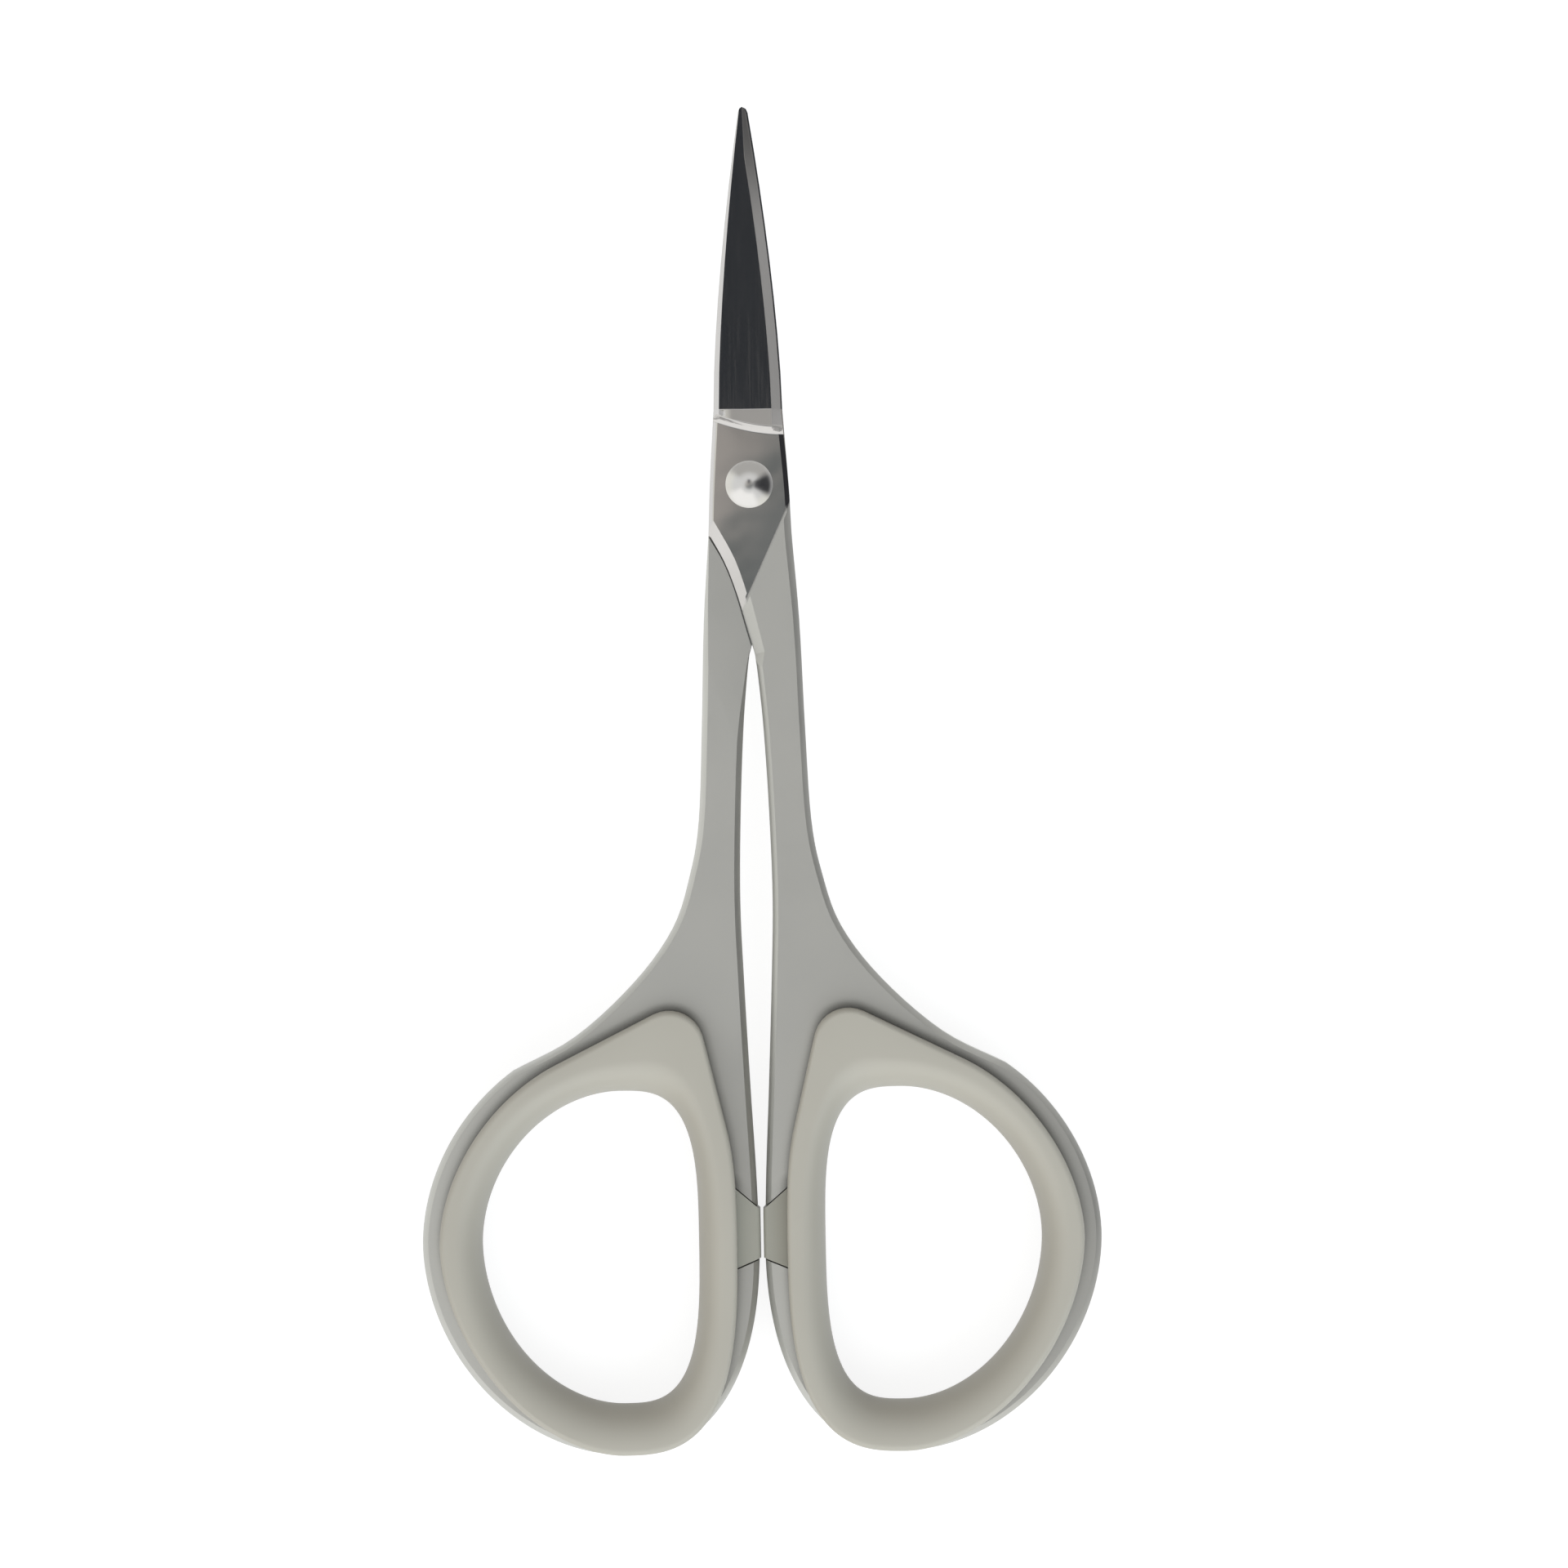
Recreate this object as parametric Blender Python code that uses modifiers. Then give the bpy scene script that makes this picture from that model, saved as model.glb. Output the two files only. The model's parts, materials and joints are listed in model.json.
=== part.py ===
"""Eyebrow scissors, lying closed and flat with their tips towards +Y.

Two equal steel halves turn on one rivet. Each half is a blade, a joint plate, a shank and
a closed bow. Each bow carries a soft finger insert and a soft stop that meets its twin.
Lengths are in metres. The origin lies on the table under the middle of the scissors.
"""

import math

import bmesh
import bpy
from mathutils import Euler, Vector
from mathutils.geometry import convex_hull_2d

MM = 0.001

# Blades and joint. Lengths along Y are counted from the pivot.
BLADE_LENGTH = 28.05 * MM
BLADE_ROOT_Y = 5.6 * MM
ROOT_WIDTH = 5.1 * MM
TIP_WIDTH = 0.72 * MM
TIP_NOSE = 0.4 * MM
BLADE_TAPER = 1.55
BLADE_LAP = 0.12 * MM
ROOT_HEIGHT = 0.8 * MM
TIP_HEIGHT = 0.42 * MM
BEVEL_LIMIT = 0.8
CUTTING_BEVEL = 0.68 * MM
EDGE_HEIGHT = 0.08 * MM
SPINE_BEVEL = 0.4 * MM
HOLLOW_DEPTH = 0.1 * MM
HOLLOW_LAND = 0.4 * MM
JOINT_WIDTH = 5.84 * MM
SHOULDER_Y = 3.95 * MM
SHOULDER_SWEEP = 1.05 * MM
SHOULDER_CURVE = 1.8
RIDE_GAP = 0.1 * MM
JOINT_RELIEF = 0.1 * MM
RELIEF_RAMP = 0.2 * MM
RELIEF_FOOT = 0.385
RELIEF_FOOT_X = 0.2 * MM
RELIEF_SIDE_Y = 0.9 * MM
HIP_Y = 3.65 * MM
HIP_WIDTH = 6.16 * MM
CROTCH_Y = 12.55 * MM
NECK_SHARE = 0.72
JOINT_CLEARANCE = 0.1 * MM
JOINT_BEVEL = 0.52 * MM
SLANT_WIDTH = 0.85 * MM
SLANT_DEPTH = 0.42 * MM
SLANT_NARROWING = 0.3
SLANT_TAIL = 6
SLANT_FADE = 0.45 * MM
SHANK_SLOPE_DROP = 0.42 * MM
SHANK_SLOPE_REACH = 3.6 * MM
SHANK_SLOPE_CURVE = 1.5
RUNOUT_EDGE = 0.3 * MM

# Shanks and bows. The bow is built about the middle of its finger hole.
STEEL_THICKNESS = 2.7 * MM
SHANK_WIDTH = 3.5 * MM
EDGE_BEVEL = 0.42 * MM
BEVEL_ROUNDNESS = 0.34
CLOSED_GAP = 0.42 * MM
SHANK_OPENING = 1.2 * MM
BOW_DISTANCE = 55.85 * MM
HOLE_INNER = 5.74 * MM
HOLE_OUTER = 10.3 * MM
HOLE_TOP = 11.1 * MM
HOLE_BOTTOM = 12.1 * MM
BOW_WALL_INNER = 4.49 * MM
BOW_WALL_OUTER = 4.38 * MM
BOW_WALL_TOP = 4.3 * MM
BOW_WALL_BOTTOM = 3.7 * MM
FLARE_ANGLE = math.radians(58.3)

# Finger inserts.
INSERT_THICKNESS = 6.0 * MM
INSERT_WEB = 1.4 * MM
INSERT_CLEARANCE = 0.1 * MM
LIP_WIDTH_INNER = 2.85 * MM
LIP_WIDTH_OUTER = 3.05 * MM
LIP_WIDTH_TOP = 3.3 * MM
LIP_WIDTH_BOTTOM = 3.55 * MM
LIP_LAND = 0.4 * MM
LIP_EDGE = 0.45 * MM
BEAD_SPREAD = 0.2
PEAK_RISE = 5.95 * MM
PEAK_SHIFT = 3.8 * MM
PEAK_RADIUS = 2.6 * MM

# Stops, held by their dovetail in the inner side of the bow.
STOP_LENGTH = 3.9 * MM
STOP_RISE = 0.45 * MM
STOP_DEPTH = 2.2 * MM
STOP_PROUD = 0.1 * MM
STOP_SLANT_TOP = 0.86
STOP_SLANT_BOTTOM = 0.42
STOP_CLEARANCE = 0.11 * MM
STOP_BEVEL = 0.35 * MM

# Rivet.
RIVET_RADIUS = 1.1 * MM
RIVET_CLEARANCE = 0.06 * MM
HEAD_RADIUS = 1.75 * MM
HEAD_HEIGHT = 0.85 * MM
TAIL_RADIUS = 1.65 * MM
TAIL_HEIGHT = 0.6 * MM
HEAD_RIM = 0.12 * MM

# Outline shapes, as shares of the way down and of the way across.
FLARE = ((0.18, 0.008), (0.40, 0.031), (0.53, 0.08), (0.66, 0.173), (0.79, 0.375), (0.92, 0.68))
INNER_EDGE_UPPER = ((0.04, 0.35), (0.13, 0.63), (0.27, 0.88), (0.42, 1.0))
INNER_EDGE_LOWER = ((0.56, 0.85), (0.74, 0.57), (0.88, 0.32))
JOINT_EDGE = ((0.23, 0.35), (0.48, 0.605), (0.81, 0.855))
RUNOUT = ((0.25, 0.1), (0.5, 0.22), (0.72, 0.38), (0.86, 0.68), (1.0, 1.05), (1.08, 1.3))
HOLLOW = ((0.0, 0.2), (0.04, 0.96), (0.3, 0.7), (0.55, 0.45), (0.75, 0.25), (0.88, 0.12))
HOLE_CURVE_INNER = 3.2
HOLE_CURVE_OUTER = 1.9
LIP_CURVE_INNER = 2.9
LIP_CURVE_OUTER = 1.8
BOW_CURVE_INNER = 2.32
BOW_CURVE_OUTER = 1.9

# Places and sizes that follow from the values above.
PIVOT_Y = (BOW_DISTANCE + HOLE_BOTTOM + BOW_WALL_BOTTOM - BLADE_LENGTH) / 2
PIVOT = Vector((0.0, PIVOT_Y, INSERT_THICKNESS / 2))
BOW = Vector((CLOSED_GAP / 2 + BOW_WALL_INNER + HOLE_INNER, -BOW_DISTANCE))
FACE = STEEL_THICKNESS / 2
JOINT_FACE = FACE - JOINT_RELIEF
RIDE = RIDE_GAP / 2

BOW_STEPS = 96
INSERT_STEPS = 60
BLADE_STEPS = 8
CURVE_STEPS = 5
ROUND_STEPS = 60
DOME_STEPS = 9
GRIND_STEPS = 6
SLOPE_STEPS = 3
FAR = 60 * MM
OVERRUN = 1 * MM
WELD = 0.001 * MM

STEEL = ((0.40, 0.40, 0.385), 0.38, 1.0)
POLISHED = ((0.55, 0.55, 0.55), 0.12, 1.0)
SOFT_GREY = ((0.46, 0.43, 0.38), 0.45, 0.0)


def clear_scene():
    for item in list(bpy.data.objects):
        bpy.data.objects.remove(item)


def new_collection(name):
    collection = bpy.data.collections.new(name)
    bpy.context.scene.collection.children.link(collection)
    return collection


def new_material(name, look):
    colour, roughness, metallic = look
    material = bpy.data.materials.new(name)
    material.use_nodes = True
    shader = material.node_tree.nodes["Principled BSDF"]
    shader.inputs["Base Color"].default_value = (*colour, 1.0)
    shader.inputs["Roughness"].default_value = roughness
    shader.inputs["Metallic"].default_value = metallic
    material.diffuse_color = (*colour, 1.0)
    return material


def mesh_from_bmesh(bm, name):
    bmesh.ops.recalc_face_normals(bm, faces=bm.faces)
    mesh = bpy.data.meshes.new(name)
    bm.to_mesh(mesh)
    bm.free()
    return mesh


def smooth_line(points, steps=CURVE_STEPS):
    """A rounded line through the points, with a few steps from each to the next."""
    ends = [points[0] * 2 - points[1], *points, points[-1] * 2 - points[-2]]
    line = []
    for before, start, end, after in zip(ends, ends[1:], ends[2:], ends[3:]):
        pull_start = (end - before) / 2
        pull_end = (after - start) / 2
        for step in range(steps):
            t = step / steps
            line.append(
                start * (2 * t**3 - 3 * t**2 + 1)
                + pull_start * (t**3 - 2 * t**2 + t)
                + end * (3 * t**2 - 2 * t**3)
                + pull_end * (t**3 - t**2)
            )
    line.append(points[-1].copy())
    return line


def ring_radius(angle, inner, outer, bottom, top, curve_inner, curve_outer):
    """Distance from the bow's middle to a D-shaped ring, at an angle from +X."""
    across = math.cos(angle)
    along = math.sin(angle)
    reach_x = outer if across > 0 else inner
    reach_y = top if along > 0 else bottom
    power = curve_outer if across > 0 else curve_inner
    return (abs(across / reach_x) ** power + abs(along / reach_y) ** power) ** (-1 / power)


def hole_radius(angle, grow=0.0):
    return ring_radius(
        angle,
        HOLE_INNER + grow,
        HOLE_OUTER + grow,
        HOLE_BOTTOM + grow,
        HOLE_TOP + grow,
        HOLE_CURVE_INNER,
        HOLE_CURVE_OUTER,
    )


def bow_radius(angle):
    return ring_radius(
        angle,
        HOLE_INNER + BOW_WALL_INNER,
        HOLE_OUTER + BOW_WALL_OUTER,
        HOLE_BOTTOM + BOW_WALL_BOTTOM,
        HOLE_TOP + BOW_WALL_TOP,
        BOW_CURVE_INNER,
        BOW_CURVE_OUTER,
    )


def polar(angle, radius):
    return Vector((math.cos(angle), math.sin(angle))) * radius


def ring_angles(count):
    return [2 * math.pi * index / count for index in range(count)]


def blade_half_width(y):
    """Half the width of the closed blades, from the root to the nose of the tip."""
    share = (y - BLADE_ROOT_Y) / (BLADE_LENGTH - TIP_NOSE - BLADE_ROOT_Y)
    share = min(max(share, 0.0), 1.0)
    return TIP_WIDTH / 2 + (ROOT_WIDTH - TIP_WIDTH) / 2 * (1 - share**BLADE_TAPER)


def blade_stations():
    """Places along the blade, from its root to the nose of the tip."""
    reach = BLADE_LENGTH - TIP_NOSE - BLADE_ROOT_Y
    return [BLADE_ROOT_Y + reach * index / BLADE_STEPS for index in range(BLADE_STEPS + 1)]


def joint_edge():
    """The slanting edge of a joint plate, from its hip down to the crotch."""
    hip = Vector((-HIP_WIDTH / 2, -HIP_Y))
    crotch = Vector((CLOSED_GAP / 2, -CROTCH_Y))
    between = [
        Vector((hip.x + (crotch.x - hip.x) * across, hip.y + (crotch.y - hip.y) * down))
        for down, across in JOINT_EDGE
    ]
    return smooth_line([hip, *between, crotch])


def blade_outline():
    """From the root of the cutting edge, round the tip, down the spine to the hip."""
    stations = blade_stations()
    edge = [Vector((blade_half_width(y) - BLADE_LAP, y)) for y in stations]
    spine = [Vector((-blade_half_width(y), y)) for y in reversed(stations[1:])]
    nose_y = BLADE_LENGTH - 0.3 * TIP_NOSE
    nose = [
        Vector((TIP_WIDTH / 3 - BLADE_LAP, nose_y)),
        Vector((-BLADE_LAP / 2, BLADE_LENGTH)),
        Vector((-TIP_WIDTH / 3, nose_y)),
    ]
    root = Vector((-ROOT_WIDTH / 2, BLADE_ROOT_Y))
    pivot_side = Vector((-JOINT_WIDTH / 2, 0.0))
    hip = Vector((-HIP_WIDTH / 2, -HIP_Y))
    return [*edge, *nose, *spine, *smooth_line([root, pivot_side, hip])[:-1]]


def handle_inner_side():
    """From the crotch down the inner side of the shank to the side of the bow."""
    drop = BOW_DISTANCE - CROTCH_Y
    inner = [
        Vector((SHANK_OPENING * across, -CROTCH_Y - drop * down))
        for down, across in INNER_EDGE_UPPER + INNER_EDGE_LOWER
    ]
    crotch = Vector((CLOSED_GAP / 2, -CROTCH_Y))
    bow_side = Vector((CLOSED_GAP / 2, -BOW_DISTANCE))
    return smooth_line([crotch, *inner, bow_side])[:-1]


def bow_outer_side():
    """From the inner side of the bow, round its bottom, up to where the flare meets it."""
    sweep = math.pi + FLARE_ANGLE
    angles = [math.pi + sweep * index / BOW_STEPS for index in range(BOW_STEPS)]
    return [BOW + polar(angle, bow_radius(angle)) for angle in angles]


def handle_outer_side():
    """From the bow up the flare and the shank, past the joint to the blade's root."""
    start = BOW + polar(FLARE_ANGLE, bow_radius(FLARE_ANGLE))
    shank_x = CLOSED_GAP / 2 + SHANK_WIDTH
    flare = [
        Vector((shank_x + (start.x - shank_x) * out, -CROTCH_Y + (start.y + CROTCH_Y) * down))
        for down, out in FLARE
    ]
    hip = Vector((HIP_WIDTH / 2, -HIP_Y))
    neck = hip.lerp(Vector((shank_x, -CROTCH_Y)), NECK_SHARE)
    pivot_side = Vector((JOINT_WIDTH / 2, 0.0))
    root = Vector((ROOT_WIDTH / 2 - BLADE_LAP, BLADE_ROOT_Y))
    return smooth_line([start, *reversed(flare), neck, hip, pivot_side, root])[:-1]


def arm_outline():
    """Outline of the half with its bow on the +X side, about the pivot, anticlockwise."""
    handle = handle_inner_side() + bow_outer_side() + handle_outer_side()
    return handle + blade_outline() + joint_edge()[:-1]


def flat_plate(name, outline, bottom, top, collection):
    """A plate with the outline, made from a filled and extruded 2D curve."""
    curve = bpy.data.curves.new(name, "CURVE")
    curve.dimensions = "2D"
    curve.fill_mode = "BOTH"
    curve.extrude = (top - bottom) / 2
    spline = curve.splines.new("POLY")
    spline.points.add(len(outline) - 1)
    for point, place in zip(spline.points, outline):
        point.co = (place.x, place.y, 0.0, 1.0)
    spline.use_cyclic_u = True
    holder = bpy.data.objects.new(name, curve)
    collection.objects.link(holder)
    holder.location.z = (top + bottom) / 2
    bpy.context.view_layer.update()
    shape = holder.evaluated_get(bpy.context.evaluated_depsgraph_get())
    mesh = bpy.data.meshes.new_from_object(shape)
    mesh.transform(holder.matrix_world)
    bpy.data.objects.remove(holder)
    bm = bmesh.new()
    bm.from_mesh(mesh)
    bmesh.ops.remove_doubles(bm, verts=bm.verts, dist=WELD)
    bmesh.ops.dissolve_limit(bm, angle_limit=math.radians(0.05), verts=bm.verts, edges=bm.edges)
    plate = bpy.data.objects.new(name, mesh_from_bmesh(bm, name))
    collection.objects.link(plate)
    return plate


def loft(name, sections, collection, closed=False):
    """A skin over sections of equal length, each a closed loop, with ends or as a ring."""
    bm = bmesh.new()
    rings = [[bm.verts.new(place) for place in section] for section in sections]
    pairs = list(zip(rings, rings[1:]))
    if closed:
        pairs.append((rings[-1], rings[0]))
    for ring, following in pairs:
        for index in range(len(ring)):
            after = (index + 1) % len(ring)
            bm.faces.new((ring[index], ring[after], following[after], following[index]))
    if not closed:
        bm.faces.new(rings[0])
        bm.faces.new(rings[-1])
    item = bpy.data.objects.new(name, mesh_from_bmesh(bm, name))
    collection.objects.link(item)
    return item


def add_cut(item, cutter):
    modifier = item.modifiers.new(cutter.name, "BOOLEAN")
    modifier.operation = "DIFFERENCE"
    modifier.solver = "EXACT"
    modifier.object = cutter


def add_bevel(item, width, segments, roundness=0.5):
    modifier = item.modifiers.new("rounded_edges", "BEVEL")
    modifier.limit_method = "WEIGHT"
    modifier.width = width
    modifier.segments = segments
    modifier.profile = roundness
    modifier.use_clamp_overlap = False
    modifier.loop_slide = False
    return modifier


def rim_bevel(place):
    """Width of an arm's bevel: widest round the joint plate, fading along the blade."""
    if place.y > -HIP_Y:
        return JOINT_BEVEL * 2 * blade_half_width(place.y) / ROOT_WIDTH
    down = min((-HIP_Y - place.y) / (CROTCH_Y - HIP_Y), 1.0)
    return JOINT_BEVEL + (EDGE_BEVEL - JOINT_BEVEL) * down


def weigh_rims(mesh, weigh):
    """Give each edge between a flat face and a side wall its share of the bevel."""
    bm = bmesh.new()
    bm.from_mesh(mesh)
    weight = bm.edges.layers.float.new("bevel_weight_edge")
    for edge in bm.edges:
        level = abs(edge.verts[0].co.z - edge.verts[1].co.z) < WELD
        middle = (edge.verts[0].co + edge.verts[1].co) / 2
        if level and edge.calc_face_angle(0.0) > math.radians(60):
            edge[weight] = weigh(middle)
    bm.to_mesh(mesh)
    bm.free()


def hide_as_cutter(item):
    item.hide_render = True
    item.display_type = "WIRE"


def grind_section(y, height, edge_z, sweep=None):
    """Upper side of a ground blade at one station, closed far above the blade."""
    half = blade_half_width(y)
    spine_bevel = SPINE_BEVEL * 2 * half / ROOT_WIDTH
    edge_bevel = min(CUTTING_BEVEL, half * BEVEL_LIMIT)
    edge_x = half - BLADE_LAP
    slope = (height - edge_z) / edge_bevel
    left = -half + spine_bevel
    right = edge_x - edge_bevel
    places = [(-half - OVERRUN, height - spine_bevel - OVERRUN)]
    for index in range(GRIND_STEPS + 1):
        share = (index / GRIND_STEPS) ** SHOULDER_CURVE
        places.append((left + (right - left) * share, height))
    places.append((edge_x, edge_z))
    places.append((edge_x + OVERRUN, edge_z - OVERRUN * slope))
    places.append((edge_x + OVERRUN, 3 * FACE))
    places.append((-half - OVERRUN, 3 * FACE))
    return [Vector((x, sweep(x) if sweep else y, z)) for x, z in places]


def shoulder_y(x):
    """The curved line where the blade's grind runs out into the joint plate."""
    share = min(max((x + ROOT_WIDTH / 2) / ROOT_WIDTH, 0.0), 1.0)
    return SHOULDER_Y + SHOULDER_SWEEP * (1 - share) ** SHOULDER_CURVE


def blade_grind_cutter(collection):
    """What is ground away above a blade: its long taper, bevels and the run-out ramp."""
    sections = []
    end = BLADE_LENGTH - TIP_NOSE
    edge_z = RIDE + EDGE_HEIGHT
    for y in (BLADE_LENGTH + OVERRUN, end, *reversed(blade_stations()[:-1])):
        share = min((y - BLADE_ROOT_Y) / (end - BLADE_ROOT_Y), 1.0)
        height = ROOT_HEIGHT + (TIP_HEIGHT - ROOT_HEIGHT) * share
        sections.append(grind_section(y, height, edge_z))
    for along, up in RUNOUT:

        def ramp_y(x, along=along):
            return BLADE_ROOT_Y + (shoulder_y(x) - BLADE_ROOT_Y) * along

        height = ROOT_HEIGHT + (JOINT_FACE - ROOT_HEIGHT) * up
        risen_edge = edge_z + (JOINT_FACE - RUNOUT_EDGE - edge_z) * up
        sections.append(grind_section(BLADE_ROOT_Y, height, risen_edge, ramp_y))
    return loft("blade_grind", sections, collection)


def hollow_cutter(collection):
    """The shallow hollow along the inner face of a blade."""
    sections = []
    end = BLADE_LENGTH - TIP_NOSE
    for share, depth_share in HOLLOW:
        y = BLADE_ROOT_Y + (end - BLADE_ROOT_Y) * share
        half = blade_half_width(y)
        left = -half + HOLLOW_LAND
        right = half - BLADE_LAP - HOLLOW_LAND
        section = []
        for index in range(GRIND_STEPS + 1):
            across = index / GRIND_STEPS
            dip = HOLLOW_DEPTH * depth_share * (1 - (2 * across - 1) ** 2)
            section.append(Vector((left + (right - left) * across, y, RIDE + dip)))
        section.append(Vector((right, y, -2 * FACE)))
        section.append(Vector((left, y, -2 * FACE)))
        sections.append(section)
    return loft("inner_hollow", sections, collection)


def slant_cutter(collection):
    """The wide bevel along the joint plate's slanting edge, which fades below the crotch."""
    edge = joint_edge()
    before = edge[0] + (edge[0] - edge[1]).normalized() * 2 * SLANT_WIDTH
    line = [before, *edge, *handle_inner_side()[1 : SLANT_TAIL + 1]]
    sections = []
    for index, place in enumerate(line):
        ahead = line[min(index + 1, len(line) - 1)]
        behind = line[max(index - 1, 0)]
        direction = (ahead - behind).normalized()
        inward = Vector((-direction.y, direction.x))
        width = SLANT_WIDTH * (1 - SLANT_NARROWING * min(index / len(edge), 1.0))
        lift = SLANT_FADE * max(index - len(edge), 0) / SLANT_TAIL
        section = []
        for reach, drop in ((2, -1), (-1, 2)):
            side = place + inward * width * reach
            section.append(Vector((side.x, side.y, JOINT_FACE + lift - SLANT_DEPTH * drop)))
        for low in reversed(section[:]):
            section.append(Vector((low.x, low.y, 3 * FACE)))
        sections.append(section)
    return loft("joint_slant", sections, collection)


def shank_slope_cutter(collection):
    """The lower face of the shank slopes in towards the other half's slanting edge."""
    edge = joint_edge()
    hip = Vector((-edge[0].x, edge[0].y))
    crotch = Vector((-edge[-1].x, edge[-1].y))
    direction = (crotch - hip).normalized()
    inward = Vector((-direction.y, direction.x))
    profile = [(1.0, -3 * FACE)]
    for index in range(SLOPE_STEPS + 1):
        share = index / SLOPE_STEPS
        profile.append((1 - share, SHANK_SLOPE_DROP * share**SHANK_SLOPE_CURVE - FACE))
    profile.append((-1.0, SHANK_SLOPE_DROP * (1 + SHANK_SLOPE_CURVE) - FACE))
    profile.append((-1.0, -3 * FACE))
    sections = []
    for corner, overrun in ((hip, -CROTCH_Y), (crotch, CROTCH_Y)):
        section = []
        for share, z in profile:
            place = corner + direction * overrun + inward * SHANK_SLOPE_REACH * share
            section.append(Vector((place.x, place.y, z)))
        sections.append(section)
    return loft("shank_slope", sections, collection)


def ride_cutter(collection):
    """The room that one half leaves for the other half's joint plate and blade."""
    mirrored = [Vector((-place.x + JOINT_CLEARANCE, place.y)) for place in joint_edge()]
    hip_y = mirrored[0].y
    crotch_y = mirrored[-1].y
    outline = [
        *mirrored,
        Vector((-FAR, crotch_y)),
        Vector((-FAR, FAR)),
        Vector((FAR, FAR)),
        Vector((FAR, hip_y)),
    ]
    return flat_plate("ride", outline, -2 * FACE, RIDE, collection)


def relief_cutter(collection):
    """The joint's upper face is ground a little lower, down to a slanting line."""
    foot = Vector((RELIEF_FOOT_X, -HIP_Y - RELIEF_FOOT * (CROTCH_Y - HIP_Y)))
    side = Vector((HIP_WIDTH / 2, -RELIEF_SIDE_Y))
    direction = (side - foot).normalized()
    outward = Vector((direction.y, -direction.x))
    low = foot - direction * JOINT_WIDTH / 3
    high = foot + direction * CROTCH_Y
    top = FACE + JOINT_RELIEF
    shift = outward * RELIEF_RAMP * (top - JOINT_FACE) / JOINT_RELIEF
    rest = [Vector((FAR, BLADE_LENGTH / 2)), Vector((-FAR, BLADE_LENGTH / 2)), Vector((-FAR, low.y))]
    sections = []
    for move, z in ((Vector((0.0, 0.0)), JOINT_FACE), (shift, top)):
        outline = [low + move, high + move, *rest]
        sections.append([Vector((place.x, place.y, z)) for place in outline])
    return loft("joint_relief", sections, collection)


def drill_cutter(name, radius, collection):
    bm = bmesh.new()
    bmesh.ops.create_cone(
        bm,
        cap_ends=True,
        segments=ROUND_STEPS,
        radius1=radius,
        radius2=radius,
        depth=6 * FACE,
    )
    drill = bpy.data.objects.new(name, mesh_from_bmesh(bm, name))
    collection.objects.link(drill)
    return drill


def bow_hole_cutter(collection):
    grow = INSERT_WEB + INSERT_CLEARANCE
    outline = [BOW + polar(angle, hole_radius(angle, grow)) for angle in ring_angles(INSERT_STEPS)]
    return flat_plate("bow_hole", outline, -2 * FACE, 2 * FACE, collection)


def stop_outline(grow, front_x):
    """The dovetail of a stop, from its front face to its back under the insert's lip."""
    face_x = CLOSED_GAP / 2
    middle = -BOW_DISTANCE + STOP_RISE
    back_x = STOP_DEPTH + grow
    top = middle + STOP_LENGTH / 2 + grow
    bottom = middle - STOP_LENGTH / 2 - grow
    return [
        Vector((back_x, top + STOP_SLANT_TOP * (back_x - face_x))),
        Vector((front_x, top + STOP_SLANT_TOP * (front_x - face_x))),
        Vector((front_x, bottom - STOP_SLANT_BOTTOM * (front_x - face_x))),
        Vector((back_x, bottom - STOP_SLANT_BOTTOM * (back_x - face_x))),
    ]


def make_arm(name, cutters, parts):
    arm = flat_plate(name, arm_outline(), -FACE, FACE, parts)
    weigh_rims(arm.data, lambda middle: rim_bevel(middle) / JOINT_BEVEL)
    add_bevel(arm, JOINT_BEVEL, 3, BEVEL_ROUNDNESS)
    for cutter in cutters:
        add_cut(arm, cutter)
    return arm


def make_insert(name, collection):
    """A soft ring with a lip on both faces of the bow and a groove between them."""
    top = INSERT_THICKNESS / 2
    under = FACE + INSERT_CLEARANCE
    peak_y = HOLE_TOP + PEAK_RISE - PEAK_RADIUS
    lip = []
    for angle in ring_angles(4 * INSERT_STEPS):
        radius = ring_radius(
            angle,
            HOLE_INNER + LIP_WIDTH_INNER,
            HOLE_OUTER + LIP_WIDTH_OUTER,
            HOLE_BOTTOM + LIP_WIDTH_BOTTOM,
            HOLE_TOP + LIP_WIDTH_TOP,
            LIP_CURVE_INNER,
            LIP_CURVE_OUTER,
        )
        lip.append(polar(angle, radius))
        lip.append(Vector((-PEAK_SHIFT, peak_y)) + polar(angle, PEAK_RADIUS))
    hull = [lip[index] for index in convex_hull_2d(lip)]
    sections = []
    for angle in ring_angles(INSERT_STEPS):
        outer = hull_radius(hull, angle)
        hole = hole_radius(angle)
        groove = hole_radius(angle, INSERT_WEB)
        bead = LIP_WIDTH_INNER - LIP_EDGE - LIP_LAND
        bead += BEAD_SPREAD * (outer - hole - LIP_WIDTH_INNER)
        upper = [(outer, under)]
        for turn in (0, 45, 90):
            swing = math.radians(turn)
            inset = LIP_EDGE * (1 - math.cos(swing))
            drop = LIP_EDGE * (1 - math.sin(swing))
            upper.append((outer - inset, top - drop))
        for turn in (0, 18, 36, 54, 72):
            swing = math.radians(turn)
            upper.append((hole + bead * (1 - math.sin(swing)), top * math.cos(swing)))
        lower = [(radius, -z) for radius, z in reversed(upper)]
        profile = [*upper, (hole, 0.0), *lower, (groove, -under), (groove, under)]
        section = []
        for radius, z in profile:
            place = BOW + polar(angle, radius)
            section.append(Vector((place.x, place.y, z)))
        sections.append(section)
    return loft(name, sections, collection, closed=True)


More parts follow.
